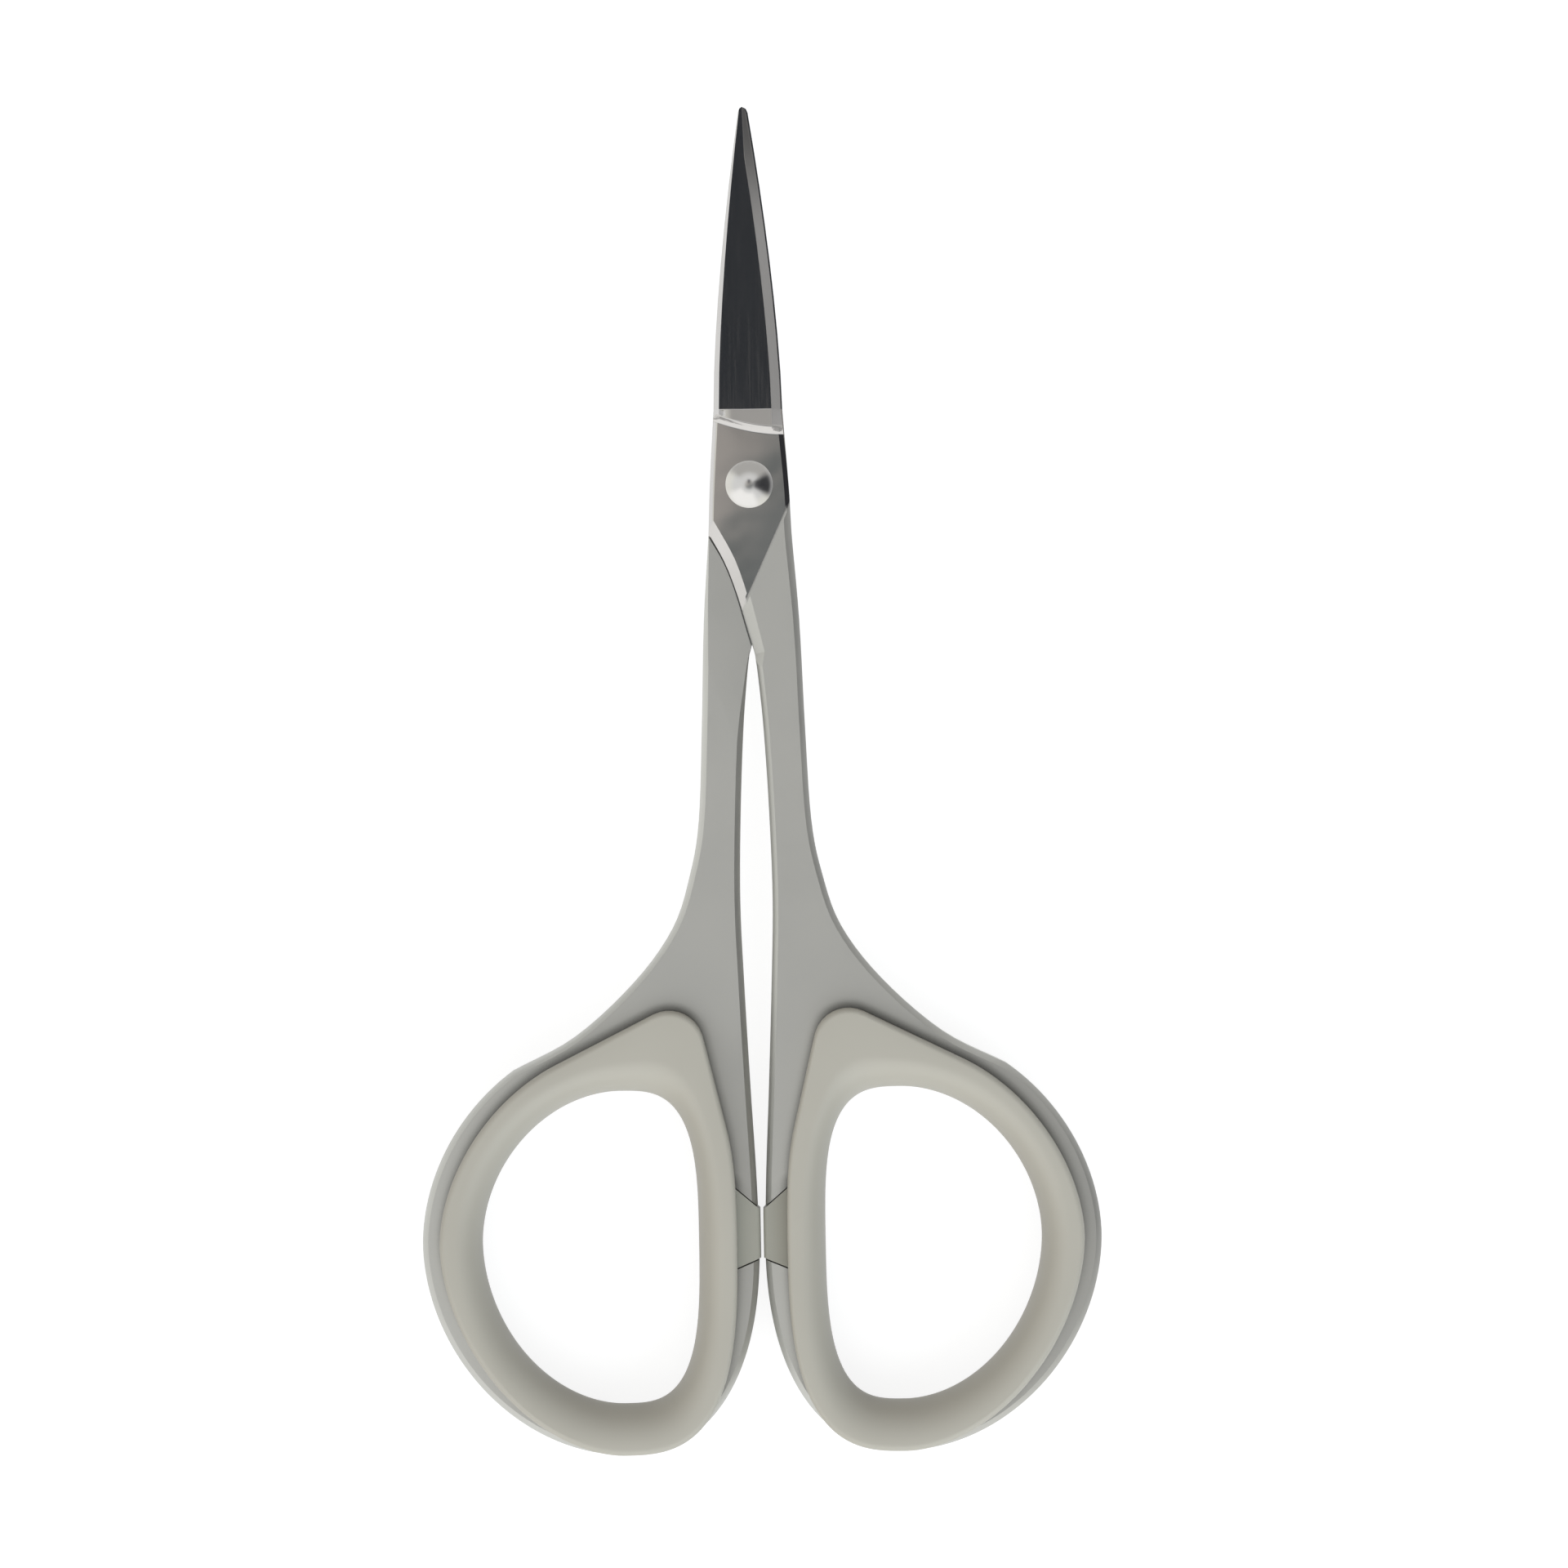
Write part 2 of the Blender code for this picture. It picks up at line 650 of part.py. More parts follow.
def hull_radius(hull, angle):
    """Distance from the middle to a closed convex outline, at an angle from +X."""
    heading = polar(angle, 1.0)
    reaches = []
    for start, end in zip(hull, hull[1:] + hull[:1]):
        outward = Vector((end.y - start.y, start.x - end.x))
        if outward.dot(start) < 0:
            outward.negate()
        if outward.dot(heading) > 0:
            reaches.append(outward.dot(start) / outward.dot(heading))
    return min(reaches)


def make_stop(name, collection):
    front_x = CLOSED_GAP / 2 - STOP_PROUD
    stop = flat_plate(name, stop_outline(-STOP_CLEARANCE, front_x), -FACE, FACE, collection)
    weigh_rims(stop.data, lambda middle: float(middle.x < front_x + WELD))
    add_bevel(stop, STOP_BEVEL, 3)
    return stop


def dome_profile(radius, height, base, sign):
    """Points of a domed head, from its rim to the axis."""
    dome = height - HEAD_RIM
    ball = (radius**2 + dome**2) / (2 * dome)
    rim_angle = math.asin(radius / ball)
    centre = base + HEAD_RIM + dome - ball
    points = [(radius, sign * base)]
    for index in range(DOME_STEPS):
        angle = rim_angle * (1 - index / DOME_STEPS)
        points.append((ball * math.sin(angle), sign * (centre + ball * math.cos(angle))))
    points.append((0.0, sign * (base + height)))
    return points


def make_rivet(name, collection):
    """A rivet turned from its profile: domed head above, shank, and upset tail below."""
    seat = JOINT_FACE + RIVET_CLEARANCE
    head = dome_profile(HEAD_RADIUS, HEAD_HEIGHT, seat, 1)
    tail = dome_profile(TAIL_RADIUS, TAIL_HEIGHT, seat, -1)
    profile = [*reversed(head), (RIVET_RADIUS, seat), (RIVET_RADIUS, -seat), *tail]
    bm = bmesh.new()
    verts = [bm.verts.new((x, 0.0, z)) for x, z in profile]
    for start, end in zip(verts, verts[1:]):
        bm.edges.new((start, end))
    mesh = bpy.data.meshes.new(name)
    bm.to_mesh(mesh)
    bm.free()
    rivet = bpy.data.objects.new(name, mesh)
    collection.objects.link(rivet)
    turn = rivet.modifiers.new("turned", "SCREW")
    turn.steps = ROUND_STEPS
    turn.render_steps = ROUND_STEPS
    turn.use_merge_vertices = True
    turn.merge_threshold = WELD
    return rivet


def freeze(item):
    """Replace an item's modifiers by the mesh that they give."""
    shape = item.evaluated_get(bpy.context.evaluated_depsgraph_get())
    mesh = bpy.data.meshes.new_from_object(shape)
    mesh.name = item.name
    item.modifiers.clear()
    item.data = mesh


def shade(item, material):
    item.data.materials.clear()
    item.data.materials.append(material)
    item.data.shade_smooth()
    item.data.set_sharp_from_angle(angle=math.radians(30))


def new_carrier(name, turn, collection):
    """An empty on the pivot's axis, which carries one half of the scissors."""
    carrier = bpy.data.objects.new(name, None)
    carrier.empty_display_size = 5 * MM
    carrier.location = PIVOT
    carrier.rotation_euler = Euler((0.0, turn, 0.0))
    collection.objects.link(carrier)
    return carrier


def add_twin(item, name, collection):
    """The same piece on the other half."""
    twin = bpy.data.objects.new(name, item.data)
    collection.objects.link(twin)
    return twin


def main():
    clear_scene()
    parts = new_collection("eyebrow_scissors")
    guides = new_collection("cutters")
    notch = flat_plate("stop_notch", stop_outline(0.0, -OVERRUN), -2 * FACE, 2 * FACE, guides)
    cutters = [
        ride_cutter(guides),
        shank_slope_cutter(guides),
        relief_cutter(guides),
        blade_grind_cutter(guides),
        slant_cutter(guides),
        hollow_cutter(guides),
        drill_cutter("rivet_bore", RIVET_RADIUS + RIVET_CLEARANCE, guides),
        bow_hole_cutter(guides),
        notch,
    ]
    for cutter in cutters:
        hide_as_cutter(cutter)

    front_arm = make_arm("front_arm", cutters, parts)
    right_insert = make_insert("right_finger_insert", parts)
    right_stop = make_stop("right_stop", parts)
    rivet = make_rivet("pivot_rivet", parts)
    bpy.context.view_layer.update()
    for item in (front_arm, right_stop, rivet):
        freeze(item)

    steel = new_material("satin_steel", STEEL)
    soft = new_material("soft_grey", SOFT_GREY)
    shade(front_arm, steel)
    shade(right_insert, soft)
    shade(right_stop, soft)
    shade(rivet, new_material("polished_steel", POLISHED))

    front_half = new_carrier("front_half", 0.0, parts)
    rear_half = new_carrier("rear_half", math.pi, parts)
    front_pieces = (front_arm, right_insert, right_stop)
    rear_names = ("rear_arm", "left_finger_insert", "left_stop")
    for piece, name in zip(front_pieces, rear_names):
        piece.parent = front_half
        add_twin(piece, name, parts).parent = rear_half
    rivet.location = PIVOT
    bpy.context.view_layer.update()


main()
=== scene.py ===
"""Looks of the eyebrow scissors: steel finishes, finely moulded soft pieces, studio, camera."""

import json
import math

import bmesh
import bpy
from mathutils import Matrix, Vector
from mathutils.geometry import convex_hull_2d


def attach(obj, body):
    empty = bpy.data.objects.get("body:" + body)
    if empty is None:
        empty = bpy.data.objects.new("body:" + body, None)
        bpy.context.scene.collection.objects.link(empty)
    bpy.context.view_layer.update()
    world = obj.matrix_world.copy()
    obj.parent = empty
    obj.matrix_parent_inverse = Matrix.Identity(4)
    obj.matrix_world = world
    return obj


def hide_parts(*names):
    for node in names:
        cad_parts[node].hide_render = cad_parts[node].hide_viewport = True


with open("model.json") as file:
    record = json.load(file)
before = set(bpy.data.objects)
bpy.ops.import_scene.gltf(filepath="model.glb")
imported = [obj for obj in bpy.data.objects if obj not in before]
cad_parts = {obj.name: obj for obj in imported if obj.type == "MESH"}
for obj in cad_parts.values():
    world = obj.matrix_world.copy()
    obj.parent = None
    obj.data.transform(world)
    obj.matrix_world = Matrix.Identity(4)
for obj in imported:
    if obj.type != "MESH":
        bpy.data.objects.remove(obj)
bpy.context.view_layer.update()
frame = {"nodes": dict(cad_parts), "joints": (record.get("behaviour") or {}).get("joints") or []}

MM = 0.001
PIVOT = Vector(frame["joints"][0]["pos_m"])

# Places on a steel half, counted from the pivot.
BLADE_ROOT_Y = 5.6 * MM
BLADE_END_Y = 27.65 * MM
ROOT_WIDTH = 5.1 * MM
TIP_WIDTH = 0.72 * MM
BLADE_TAPER = 1.55
CUTTING_BEVEL = 0.68 * MM
BEVEL_LIMIT = 0.8
BLADE_LAP = 0.12 * MM
SHOULDER_Y = 3.95 * MM
SHOULDER_SWEEP = 1.05 * MM
SHOULDER_CURVE = 1.8
CROTCH_Y = -12.55 * MM
SLANT_END_Y = -15.2 * MM
BOW_TOP_Y = -42 * MM
JOINT_PLANE = 0.05 * MM
POLISH_FOOT = Vector((0.2 * MM, -7.3 * MM))
POLISH_SIDE = Vector((3.08 * MM, -1.1 * MM))

# Soft borders of the finishes, each from where it begins to where it ends.
BEVEL_BORDER = (-0.03 * MM, 0.03 * MM)
BEVEL_START = (SHOULDER_Y + 0.1 * MM, SHOULDER_Y + 0.2 * MM)
ROOT_BORDER = (BLADE_ROOT_Y - 0.05 * MM, BLADE_ROOT_Y + 0.05 * MM)
POLISH_BORDER = (-0.1 * MM, 0.1 * MM)
CROTCH_BORDER = (CROTCH_Y - 0.5 * MM, CROTCH_Y)
STRIP_END = (SHOULDER_Y, SHOULDER_Y + 0.1 * MM)
RIDGE_BORDER = (0.2 * MM, 0.38 * MM)
RUNOUT_BORDER = (0.0, 0.1 * MM)
RUNOUT_CORNER = (-2.4 * MM, -0.2 * MM)
SEAM_BORDER = (0.12 * MM, 0.22 * MM)
# Painted shade on the cutting bevel, from where it begins to where it is darkest.
TIP_SHADOW = (18 * MM, 27 * MM)
BOW_START = (BOW_TOP_Y - 2 * MM, BOW_TOP_Y + 3 * MM)
SHADE_START = (BOW_TOP_Y + 3 * MM, BOW_TOP_Y + 6 * MM)

# Soft borders by height, counted from the middle of the joint.
UPPER_SIDE = (0.0, 0.2 * MM)
NEAR_PLANE = (JOINT_PLANE + 0.1 * MM, JOINT_PLANE + 0.2 * MM)
RAISED = (-0.3 * MM, -0.1 * MM)
SHOULDER_HEIGHT = (0.6 * MM, 0.8 * MM)
SEAM_HEIGHT = (1 * MM, 1.2 * MM)

# Soft borders by one part of the surface's normal.
FACING_DOWN = (-0.9, -0.7)
FACING_OUT = (0.1, 0.3)
FACING_RIGHT = (0.2, 0.4)
FACING_UP = (0.9, 0.98)
NEARLY_LEVEL = (0.95, 0.985)
SEAM_FACING = (0.5, 0.6)

# Form that is in the steel's shading alone.
RIDGE_FACING = (-0.1, -0.36, 0.93)
RUNOUT_FACING = (0.0, 0.42, 0.9)
RUNOUT_CORNER_LEAN = -0.9
PLATE_CROWN_ACROSS = 45 * MM
PLATE_CROWN_ALONG = 225 * MM
PLATE_CROWN_Y = 8 * MM
PLATE_WAVE = 0.04
GROUND_RISE = 1.18
STRIP_RISE = 1.7
STRIP_SATIN = 0.5
STRIP_POLISHED = 0.9
SHANK_LEVEL = 0.4
BOW_SLOPE = 0.09
# Painted shade: the bows' steel colour goes towards black beside the lips, where a lip stands
# between the steel and the light.
SHADE_REACH = 0.95 * MM
SHADE_LEAN = 1.2
SHADE_OPENNESS = (0.25, 0.85)
SHADE_DARKEST = 0.2
SHADE_SAMPLES = 8
GROUND_CREASE = math.radians(14)
FORGED_CREASE = math.radians(28)
WELD = 0.001 * MM

# Finishes. A pair goes from the darkest or smoothest patch to the palest or roughest.
BLACK = (0.0, 0.0, 0.0)
SATIN = ((0.59, 0.595, 0.57), (0.63, 0.63, 0.605))
POLISHED = ((0.555, 0.545, 0.535), (0.615, 0.605, 0.595))
RIVET = ((0.67, 0.665, 0.655), (0.74, 0.735, 0.725))
MOULDING = ((0.45, 0.432, 0.378), (0.485, 0.467, 0.41))
# Painted shade: the stops are the inserts' plastic, made darker and slightly greener for the shade
# of their place between the bows.
SHADED_STOP_MOULDING = ((0.355, 0.355, 0.31), (0.39, 0.385, 0.335))
SATIN_ROUGH = (0.5, 0.58)
JOINT_ROUGH = (0.1, 0.16)
BLADE_ROUGH = (0.05, 0.1)
BEVEL_ROUGH = 0.5
RIVET_ROUGH = (0.16, 0.22)
SOFT_ROUGH = (0.42, 0.5)
# Painted shade: how far the cutting bevel's colour goes towards black at the tip.
TIP_PAINTED_SHADE = 0.65
NOISE_SPAN = (0.3, 0.7)
STEEL_CLOUDS = 180
STEEL_WAVES = 330
STEEL_GRAIN = 9000
POLISH_LINES = (9000, 160, 9000)
RIVET_CLOUDS = 900
SOFT_CLOUDS = 120
SOFT_GRAIN = 6000
GRAIN_DEPTH = 0.004 * MM
SATIN_GRAIN = 0.5
POLISH_GRAIN = 0.08
SOFT_GRAIN_STRENGTH = 0.25

# Soft pieces, about the middle of the finger hole.
BOW = Vector((10.44 * MM, -55.85 * MM))
HOLE_INNER = 5.74 * MM
HOLE_OUTER = 10.3 * MM
HOLE_TOP = 11.1 * MM
HOLE_BOTTOM = 12.1 * MM
HOLE_CURVE_INNER = 3.2
HOLE_CURVE_OUTER = 1.9
LIP_INNER = 2.85 * MM
LIP_OUTER = 3.05 * MM
LIP_TOP = 3.3 * MM
LIP_BOTTOM = 3.55 * MM
LIP_CURVE_INNER = 2.9
LIP_CURVE_OUTER = 1.8
LIP_EDGE = 0.45 * MM
LIP_LAND = 0.4 * MM
LIP_UNDER = 1.45 * MM
BEAD_SPREAD = 0.2
BEAD_SPREAD_BOTTOM = 0.85 * MM
PEAK_RISE = 5.95 * MM
PEAK_SHIFT = 3.8 * MM
PEAK_RADIUS = 2.6 * MM
INSERT_HALF = 3.0 * MM
INSERT_WEB = 1.4 * MM
STEEL_HALF = 1.35 * MM
STOP_FACE = 0.21 * MM
STOP_FRONT = 0.11 * MM
STOP_BACK = 2.09 * MM
STOP_MIDDLE = 0.45 * MM
STOP_HALF_LENGTH = 1.84 * MM
STOP_SLANT_TOP = 0.86
STOP_SLANT_BOTTOM = 0.42
STOP_ROUNDING = 0.35 * MM
MOULDED_CREASE = math.radians(40)
RING_STEPS = 240
EDGE_STEPS = 8
BEAD_STEPS = 16

# Camera, as the photograph has it.
PHOTO_PIXELS = 1920
PIXEL_SIZE = 0.0606 * MM
SENSOR = 36.0
CAMERA_HEIGHT = 375 * MM
CAMERA_ROLL = math.radians(-1.0)
CAMERA_RIGHT = 2.58 * MM
CAMERA_DOWN = 22.16 * MM
CAMERA_NEAREST = 10 * MM

# Room. A bearing is its middle, where it is full and where it ends, from +X, in degrees.
SKY_LOW = (0.97, 0.96, 0.9)
SKY_MIDDLE = (0.85, 0.85, 0.845)
SKY_RISE = (0.26, 0.64)
SKY_BACK = (0.53, 0.52, 0.5)
BACK_BEARING = (85, 45, 70)
BACK_TOP = (0.58, 0.92)
SKY_FRONT = (1.2, 1.19, 1.17)
FRONT_BEARING = (248, 35, 60)
FRONT_FOOT = (0.03, 0.24)
FRONT_TOP = (0.82, 0.93)
SKY_OVERHEAD = (0.2, 0.215, 0.215)
SKY_OVERHEAD_BACK = (0.52, 0.49, 0.46)
OVERHEAD_FOOT = (0.95, 0.98)
OVERHEAD_LEAN = 0.4
OVERHEAD_SPLIT = (-0.05, 0.025)
SKY_RIGHT = (0.04, 0.04, 0.045)
SKY_RIGHT_LOW = (0.45, 0.45, 0.45)
RIGHT_BEARING = (2, 20, 44)
RIGHT_RISE = (0.05, 0.3)
RIGHT_TOP = (0.93, 0.98)

# Floor, dark card and lamps. A lamp has its bearing and its elevation in degrees, and its watts.
FLOOR_COLOUR = (0.3, 0.3, 0.3)
FLOOR_GLOW = 0.83
FLOOR_SIZE = (6.0, 6.0)
FLOOR_DROP = 0.02 * MM
CARD_PLACE = (-0.003, 0.138, 0.60)
CARD_SIZE = (0.11, 0.15)
CARD_COLOUR = (0.115, 0.122, 0.138)
LEFT_LAMP = (258, 48, 0.3)
RIGHT_LAMP = (316, 36, 1.55)
WARM = (1.0, 0.98, 0.95)
COOL = (0.82, 0.92, 1.0)
LAMP_DISTANCE = 0.6
LAMP_SIZE = (0.5, 0.46)


def link(item):
    bpy.context.scene.collection.objects.link(item)
    return item


def mesh_from_bmesh(bm, name):
    bmesh.ops.recalc_face_normals(bm, faces=bm.faces)
    mesh = bpy.data.meshes.new(name)
    bm.to_mesh(mesh)
    bm.free()
    return mesh


def polar(angle, radius):
    return Vector((math.cos(angle), math.sin(angle))) * radius


def ring_angles(count):
    return [2 * math.pi * index / count for index in range(count)]


def ring_radius(angle, inner, outer, bottom, top, curve_inner, curve_outer):
    """Distance from the bow's middle to a D-shaped ring, at an angle from +X."""
    across = math.cos(angle)
    along = math.sin(angle)
    reach_x = outer if across > 0 else inner
    reach_y = top if along > 0 else bottom
    power = curve_outer if across > 0 else curve_inner
    return (abs(across / reach_x) ** power + abs(along / reach_y) ** power) ** (-1 / power)


def hole_radius(angle):
    return ring_radius(
        angle, HOLE_INNER, HOLE_OUTER, HOLE_BOTTOM, HOLE_TOP, HOLE_CURVE_INNER, HOLE_CURVE_OUTER
    )


def lip_radius(angle):
    return ring_radius(
        angle,
        HOLE_INNER + LIP_INNER,
        HOLE_OUTER + LIP_OUTER,
        HOLE_BOTTOM + LIP_BOTTOM,
        HOLE_TOP + LIP_TOP,
        LIP_CURVE_INNER,
        LIP_CURVE_OUTER,
    )


def lip_outline():
    """The lip with its peak, as a convex outline about the bow's middle."""
    peak = Vector((-PEAK_SHIFT, HOLE_TOP + PEAK_RISE - PEAK_RADIUS))
    points = []
    for angle in ring_angles(2 * RING_STEPS):
        points.append(polar(angle, lip_radius(angle)))
        points.append(peak + polar(angle, PEAK_RADIUS))
    return [points[index] for index in convex_hull_2d(points)]


def hull_radius(hull, angle):
    """Distance from the middle to a closed convex outline, at an angle from +X."""
    heading = polar(angle, 1.0)
    reaches = []
    for start, end in zip(hull, hull[1:] + hull[:1]):
        outward = Vector((end.y - start.y, start.x - end.x))
        if outward.dot(start) < 0:
            outward.negate()
        if outward.dot(heading) > 0:
            reaches.append(outward.dot(start) / outward.dot(heading))
    return min(reaches)


def insert_profile(angle, outer, hole):
    """Section of an insert: upper lip, bead, hole, lower lip and the groove for the steel."""
    bead = LIP_INNER - LIP_EDGE - LIP_LAND
    bead += BEAD_SPREAD * (outer - hole - LIP_INNER)
    bead += BEAD_SPREAD_BOTTOM * max(0.0, -math.sin(angle)) ** 2
    upper = [(outer, LIP_UNDER)]
    for step in range(EDGE_STEPS + 1):
        turn = math.pi / 2 * step / EDGE_STEPS
        inset = LIP_EDGE * (1 - math.cos(turn))
        drop = LIP_EDGE * (1 - math.sin(turn))
        upper.append((outer - inset, INSERT_HALF - drop))
    for step in range(BEAD_STEPS):
        turn = math.pi / 2 * step / BEAD_STEPS
        upper.append((hole + bead * (1 - math.sin(turn)), INSERT_HALF * math.cos(turn)))
    lower = [(radius, -z) for radius, z in reversed(upper)]
    groove = hole + INSERT_WEB
    return [*upper, (hole, 0.0), *lower, (groove, -LIP_UNDER), (groove, LIP_UNDER)]


def make_insert(name, side, body, node, material):
    """A soft ring with a lip on both faces of the bow and a groove between them."""
    hull = lip_outline()
    bm = bmesh.new()
    rings = []
    for angle in ring_angles(RING_STEPS):
        ring = []
        for radius, z in insert_profile(angle, hull_radius(hull, angle), hole_radius(angle)):
            place = BOW + polar(angle, radius)
            ring.append(bm.verts.new((side * place.x, place.y, z)))
        rings.append(ring)
    for ring, following in zip(rings, rings[1:] + rings[:1]):
        for index in range(len(ring)):
            after = (index + 1) % len(ring)
            bm.faces.new((ring[index], ring[after], following[after], following[index]))
    add_soft_piece(name, bm, body, node, material)


def make_stop(name, side, body, node, material):
    """A soft dovetail in the inner side of the bow, rounded where it meets its twin."""
    middle = BOW.y + STOP_MIDDLE
    top = middle + STOP_HALF_LENGTH
    bottom = middle - STOP_HALF_LENGTH
    outline = [
        (STOP_BACK, top + STOP_SLANT_TOP * (STOP_BACK - STOP_FACE)),
        (STOP_FRONT, top + STOP_SLANT_TOP * (STOP_FRONT - STOP_FACE)),
        (STOP_FRONT, bottom - STOP_SLANT_BOTTOM * (STOP_FRONT - STOP_FACE)),
        (STOP_BACK, bottom - STOP_SLANT_BOTTOM * (STOP_BACK - STOP_FACE)),
    ]
    bm = bmesh.new()
    loops = []
    for z in (STEEL_HALF, -STEEL_HALF):
        loop = [bm.verts.new((side * x, y, z)) for x, y in outline]
        bm.faces.new(loop)
        loops.append(loop)
    for index in range(len(outline)):
        after = (index + 1) % len(outline)
        bm.faces.new((loops[0][index], loops[1][index], loops[1][after], loops[0][after]))
    front = [bm.edges.get((loop[1], loop[2])) for loop in loops]
    bmesh.ops.bevel(
        bm, geom=front, offset=STOP_ROUNDING, segments=EDGE_STEPS, profile=0.5, affect="EDGES"
    )
    add_soft_piece(name, bm, body, node, material)


def add_soft_piece(name, bm, body, node, material):
    piece = link(bpy.data.objects.new(name, mesh_from_bmesh(bm, name)))
    piece.location = PIVOT
    piece.data.shade_smooth()
    piece.data.set_sharp_from_angle(angle=MOULDED_CREASE)
    piece.data.materials.append(material)
    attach(piece, body)
    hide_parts(node)


class Nodes:
    """A node tree, with short ways to add the nodes used here."""

    def __init__(self, tree):
        self.tree = tree

    def add(self, kind, inputs=(), **settings):
        """A node with its settings, and its inputs set or linked in order."""
        node = self.tree.nodes.new(kind)
        for name, value in settings.items():
            setattr(node, name, value)
        for place, value in inputs:
            self.feed(node.inputs[place], value)
        return node

    def feed(self, socket, value):
        if isinstance(value, bpy.types.NodeSocket):
            self.tree.links.new(value, socket)
        else:
            socket.default_value = value

    def sum(self, operation, first, second=0.0):
        node = self.add("ShaderNodeMath", ((0, first), (1, second)), operation=operation)
        return node.outputs[0]

    def ramp(self, value, span, start=0.0, end=1.0, curve="SMOOTHSTEP"):
        """The value's way across a span, mapped to go from start to end."""
        low, high = span
        ends = (("From Min", low), ("From Max", high), ("To Min", start), ("To Max", end))
        inputs = (("Value", value), *ends)
        return self.add("ShaderNodeMapRange", inputs, interpolation_type=curve).outputs["Result"]

    def mix(self, share, first, second):
        node = self.add("ShaderNodeMix", ((0, share), (2, first), (3, second)), data_type="FLOAT")
        return node.outputs[0]

    def blend(self, share, first, second):
        """A colour between two colours, each given by its values or by a socket."""
        inputs = [(0, share)]
        for place, colour in ((6, first), (7, second)):
            inputs.append((place, (*colour, 1.0) if isinstance(colour, tuple) else colour))
        return self.add("ShaderNodeMix", inputs, data_type="RGBA").outputs[2]

    def noise(self, place, scale, detail=3.0):
        inputs = (("Vector", place), ("Scale", scale), ("Detail", detail))
        return self.add("ShaderNodeTexNoise", inputs).outputs["Fac"]

    def stretched_noise(self, place, scale):
        mapping = self.add("ShaderNodeMapping", (("Vector", place), ("Scale", scale)))
        return self.noise(mapping.outputs[0], 1.0)

    def split(self, vector):
        return self.add("ShaderNodeSeparateXYZ", ((0, vector),)).outputs

    def vector(self, x, y, z):
        return self.add("ShaderNodeCombineXYZ", ((0, x), (1, y), (2, z))).outputs[0]

    def vector_sum(self, operation, first, second=(0.0, 0.0, 0.0)):
        inputs = ((0, first), (1, second))
        return self.add("ShaderNodeVectorMath", inputs, operation=operation).outputs[0]

    def bump(self, height, distance, strength=1.0, normal=None):
        inputs = [("Height", height), ("Distance", distance), ("Strength", strength)]
        if normal is not None:
            inputs.append(("Normal", normal))
        return self.add("ShaderNodeBump", inputs).outputs[0]


class Shader(Nodes):
    """A material and its node tree."""

    def __init__(self, name):
        self.material = bpy.data.materials.new(name)
        self.material.use_nodes = True
        super().__init__(self.material.node_tree)
        self.surface = self.tree.nodes["Principled BSDF"]

    def set(self, name, value):
        self.feed(self.surface.inputs[name], value)

    def place(self):
        return self.add("ShaderNodeTexCoord").outputs["Object"]


def half_space(shader, side):
    """Place and normal on a steel half about the pivot, turned over for the rear half."""
    coordinates = shader.add("ShaderNodeTexCoord").outputs
    place = shader.vector_sum("SUBTRACT", coordinates["Object"], PIVOT)
    turn = (side, 1.0, side)
    return [shader.vector_sum("MULTIPLY", each, turn) for each in (place, coordinates["Normal"])]


def blade_edge_mask(shader, across, along):
    """1 on the cutting bevel, which follows the taper of the blade."""
    share = shader.ramp(along, (BLADE_ROOT_Y, BLADE_END_Y), curve="LINEAR")
    taper = shader.sum("SUBTRACT", 1.0, shader.sum("POWER", share, BLADE_TAPER))
    half = shader.sum("MULTIPLY", taper, (ROOT_WIDTH - TIP_WIDTH) / 2)
    half = shader.sum("ADD", half, TIP_WIDTH / 2)
    bevel = shader.sum("MINIMUM", shader.sum("MULTIPLY", half, BEVEL_LIMIT), CUTTING_BEVEL)
    bevel_start = shader.sum("SUBTRACT", shader.sum("SUBTRACT", half, BLADE_LAP), bevel)
    beyond = shader.sum("SUBTRACT", across, bevel_start)
    start = shader.ramp(along, BEVEL_START)
    return shader.sum("MULTIPLY", shader.ramp(beyond, BEVEL_BORDER), start)


def polish_line_distance(shader, across, along):
    """Way across the slanting line below the joint plate, growing towards the plate."""
    direction = (POLISH_SIDE - POLISH_FOOT).normalized()
    inward = Vector((-direction.y, direction.x))
    beside = shader.sum(
        "ADD", shader.sum("MULTIPLY", across, inward.x), shader.sum("MULTIPLY", along, inward.y)
    )
    return shader.sum("SUBTRACT", beside, inward.dot(POLISH_FOOT))


def joint_polish_mask(shader, beside, along, height, facing):
    """1 on the joint plate down to its slanting line, and on its hidden inner face."""
    above_line = shader.ramp(beside, POLISH_BORDER)
    outside = shader.sum("MULTIPLY", above_line, shader.ramp(height, UPPER_SIDE))
    near_plane = shader.ramp(height, NEAR_PLANE, 1.0, 0.0)
    down = shader.ramp(facing, FACING_DOWN, 1.0, 0.0)
    raised = shader.ramp(height, RAISED)
    inside = shader.sum("MULTIPLY", shader.sum("MULTIPLY", near_plane, down), raised)
    within = shader.ramp(along, CROTCH_BORDER)
    return shader.sum("MULTIPLY", shader.sum("MAXIMUM", outside, inside), within)


def shoulder_masks(shader, across, along, height):
    """1 on the rounded ridge above the joint plate, and 1 from there down to the blade."""
    share = shader.ramp(across, (-ROOT_WIDTH / 2, ROOT_WIDTH / 2), 1.0, 0.0, "LINEAR")
    sweep = shader.sum("MULTIPLY", shader.sum("POWER", share, SHOULDER_CURVE), SHOULDER_SWEEP)
    beyond = shader.sum("SUBTRACT", shader.sum("SUBTRACT", along, sweep), SHOULDER_Y)
    upper = shader.ramp(height, SHOULDER_HEIGHT)
    ridge = shader.ramp(shader.sum("ABSOLUTE", beyond), RIDGE_BORDER, 1.0, 0.0)
    below = shader.ramp(along, ROOT_BORDER, 1.0, 0.0)
    runout = shader.sum("MULTIPLY", shader.ramp(beyond, RUNOUT_BORDER), below)
    return shader.sum("MULTIPLY", ridge, upper), shader.sum("MULTIPLY", runout, upper)


